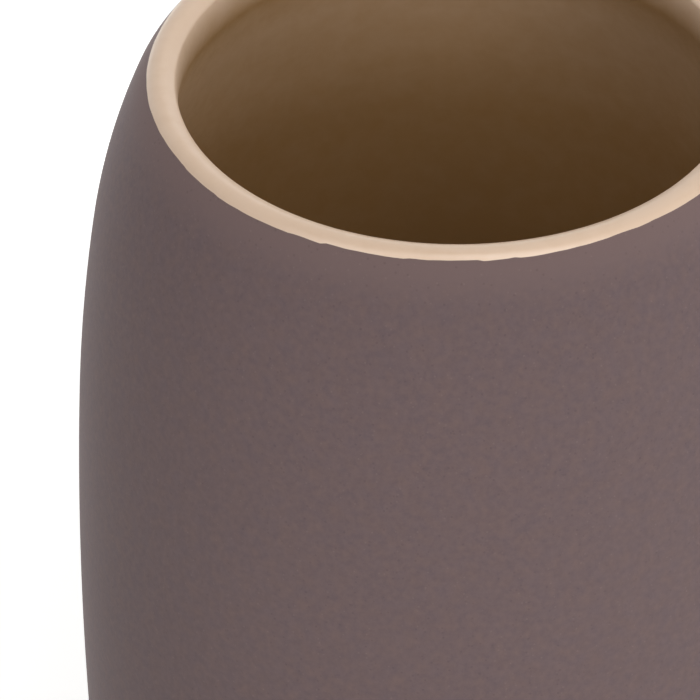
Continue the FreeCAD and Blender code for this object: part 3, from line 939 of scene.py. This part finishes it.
class TUMBLER_OT_base_glaze(bpy.types.Operator):
    """Seal the recess under the floor with a disc of glaze"""

    bl_idname = "tumbler.base_glaze"
    bl_label = "Base glaze"

    def execute(self, context):
        form = context.scene.tumbler_form
        low, high, reach = BASE_LOW.z, BASE_HIGH.z, BASE_HIGH.x
        lower_round = (high - low) / 2.0
        upper_round = lower_round / 4.0
        line = disc_section(reach, low, high, (lower_round, upper_round))
        place = shown_rows(form, line, 0.0, line.end)[1:-1]
        radius, height = line.rings(place, form.columns)
        drawn_in = (1.0 + hand_wave(ring_angles(form.columns), HEEL_WAVES)) / 2.0
        radius = radius * (1.0 - form.base_wave / reach * drawn_in)
        hidden = place > reach + high - low
        mesh = turned_mesh("base_glaze", radius, height, hidden, (low, high))
        material = cream_glaze("plain_cream", context.scene.tumbler_finish)
        place_piece("base_glaze", mesh, material, "underside_glaze")
        return {"FINISHED"}


class TUMBLER_OT_soft_feet(bpy.types.Operator):
    """Stick a soft foot at each place under the base"""

    bl_idname = "tumbler.soft_feet"
    bl_label = "Soft feet"

    def execute(self, context):
        form = context.scene.tumbler_form
        material = cloudy_silicone(context.scene.tumbler_finish)
        for node in FEET:
            low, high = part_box(node)
            centre = (low + high) / 2.0
            reach = (high.x - low.x) / 2.0
            line = disc_section(reach, low.z, high.z, (form.pad_round, form.pad_top_round))
            place = line.rows(0.0, line.end, form.pad_step, form.ring_turn)[1:-1]
            radius, height = line.rings(place, form.pad_columns)
            hidden = place > reach + high.z - low.z
            name = node.replace("foot_pad", "soft_foot")
            mesh = turned_mesh(name, radius, height, hidden, (low.z, high.z), centre[:2])
            place_piece(name, mesh, material, node)
        return {"FINISHED"}


def white_to_the_eye(tree):
    """1 where a surface is looked at, straight or in a reflection or through glass, and 0 for light."""
    path = add_node(tree, "ShaderNodeLightPath").outputs
    seen = calculate(tree, "MAXIMUM", path["Is Camera Ray"], path["Is Glossy Ray"])
    return calculate(tree, "MAXIMUM", seen, path["Is Transmission Ray"])


def floor_material(stage):
    """Pale floor that looks white in the open and keeps the tumbler's shadow."""
    material, tree, shader, place = new_material("pale_floor")
    mottle = mottled(tree, place, broad=3.0, fine=60.0)
    paint = mix_colours(tree, mottle["Fine"], stage.floor_colour, stage.floor_dull)
    tree.links.new(paint, shader["Base Color"])
    shader["Roughness"].default_value = 0.9
    shader["Emission Color"].default_value = (1.0, 1.0, 1.0, 1.0)
    away = add_node(tree, "ShaderNodeVectorMath", {0: place}, operation="LENGTH").outputs["Value"]
    glow = between(tree, away, stage.glow_start, stage.glow_end, stage.floor_glow, 1.0)
    glow = calculate(tree, "MULTIPLY", white_to_the_eye(tree), glow)
    tree.links.new(glow, shader["Emission Strength"])
    return material


def studio_world(stage):
    """White all round to the eye, and a weaker even light on the tumbler."""
    world = bpy.data.worlds.new("studio")
    world.use_nodes = True
    tree = world.node_tree
    tree.nodes.clear()
    lit = calculate(tree, "MAXIMUM", white_to_the_eye(tree), stage.ambient)
    sky = add_node(tree, "ShaderNodeBackground", {"Color": (1.0, 1.0, 1.0, 1.0), "Strength": lit})
    output = add_node(tree, "ShaderNodeOutputWorld")
    tree.links.new(sky.outputs["Background"], output.inputs["Surface"])
    return world


def add_softbox(name, watts, around, above, width, distance, aim):
    """A square lamp at a distance from its aim, facing it. One behind the tumbler makes no glints."""
    around, above = math.radians(around), math.radians(above)
    level = math.cos(above)
    away = Vector((math.sin(around) * level, -math.cos(around) * level, math.sin(above)))
    lamp = bpy.data.lights.new(name, "AREA")
    lamp.energy = watts
    lamp.shape = "SQUARE"
    lamp.size = width
    softbox = bpy.data.objects.new(name, lamp)
    softbox.location = aim + distance * away
    softbox.rotation_euler = away.to_track_quat("Z", "Y").to_euler()
    softbox.visible_camera = False
    softbox.visible_glossy = away.y < 0.0
    bpy.context.scene.collection.objects.link(softbox)


class TUMBLER_OT_studio(bpy.types.Operator):
    """Set up the floor, the softboxes, the white surroundings and the camera"""

    bl_idname = "tumbler.studio"
    bl_label = "Studio"

    def execute(self, context):
        scene = context.scene
        stage = scene.tumbler_stage
        half = stage.floor_size / 2.0
        corners = [(-half, -half, 0.0), (half, -half, 0.0), (half, half, 0.0), (-half, half, 0.0)]
        mesh = bpy.data.meshes.new("floor")
        mesh.from_pydata(corners, [], [(0, 1, 2, 3)])
        mesh.materials.append(floor_material(stage))
        floor = bpy.data.objects.new("floor", mesh)
        scene.collection.objects.link(floor)
        scene.world = studio_world(stage)

        aim = Vector((0.0, 0.0, stage.aim_height))
        for word, *place in SOFTBOXES:
            watts = getattr(stage, f"{word}_power")
            add_softbox(f"{word}_softbox", watts, *place, stage.softbox_distance, aim)

        lens = bpy.data.cameras.new("camera")
        lens.sensor_width = SENSOR_WIDTH
        lens.sensor_fit = "HORIZONTAL"
        lens.lens = stage.lens
        camera = bpy.data.objects.new("camera", lens)
        back = Vector((0.0, -math.cos(stage.camera_pitch), math.sin(stage.camera_pitch)))
        camera.location = aim + stage.camera_distance * back
        look = aim - Vector((stage.aim_left, 0.0, 0.0)) - camera.location
        camera.rotation_euler = look.to_track_quat("-Z", "Y").to_euler()
        scene.collection.objects.link(camera)
        scene.camera = camera
        scene.view_settings.view_transform = "Standard"
        return {"FINISHED"}


class TUMBLER_PT_panel(bpy.types.Panel):
    """Steps and settings of the tumbler in the 3D view's sidebar"""

    bl_idname = "TUMBLER_PT_panel"
    bl_label = "Toothbrush Tumbler"
    bl_space_type = "VIEW_3D"
    bl_region_type = "UI"
    bl_category = "Tumbler"

    def draw(self, context):
        for step in STEPS:
            self.layout.operator(step.bl_idname)
        for group in GROUPS:
            box = self.layout.box()
            settings = getattr(context.scene, group)
            for name in settings.bl_rna.properties.keys():
                if name not in ("rna_type", "name"):
                    box.prop(settings, name)


GROUPS = {
    "tumbler_form": TumblerForm,
    "tumbler_finish": TumblerFinish,
    "tumbler_stage": TumblerStage,
}
STEPS = (
    TUMBLER_OT_clay_blank,
    TUMBLER_OT_cream_lining,
    TUMBLER_OT_mauve_coat,
    TUMBLER_OT_base_glaze,
    TUMBLER_OT_soft_feet,
    TUMBLER_OT_studio,
)


def register():
    for made in (*GROUPS.values(), *STEPS, TUMBLER_PT_panel):
        bpy.utils.register_class(made)
    for name, group in GROUPS.items():
        setattr(bpy.types.Scene, name, PointerProperty(type=group))


def unregister():
    for name in GROUPS:
        delattr(bpy.types.Scene, name)
    for made in reversed((*GROUPS.values(), *STEPS, TUMBLER_PT_panel)):
        bpy.utils.unregister_class(made)


def main():
    register()
    bpy.ops.tumbler.clay_blank()
    bpy.ops.tumbler.cream_lining()
    bpy.ops.tumbler.mauve_coat()
    bpy.ops.tumbler.base_glaze()
    bpy.ops.tumbler.soft_feet()
    bpy.ops.tumbler.studio()


if __name__ == "__main__":
    main()
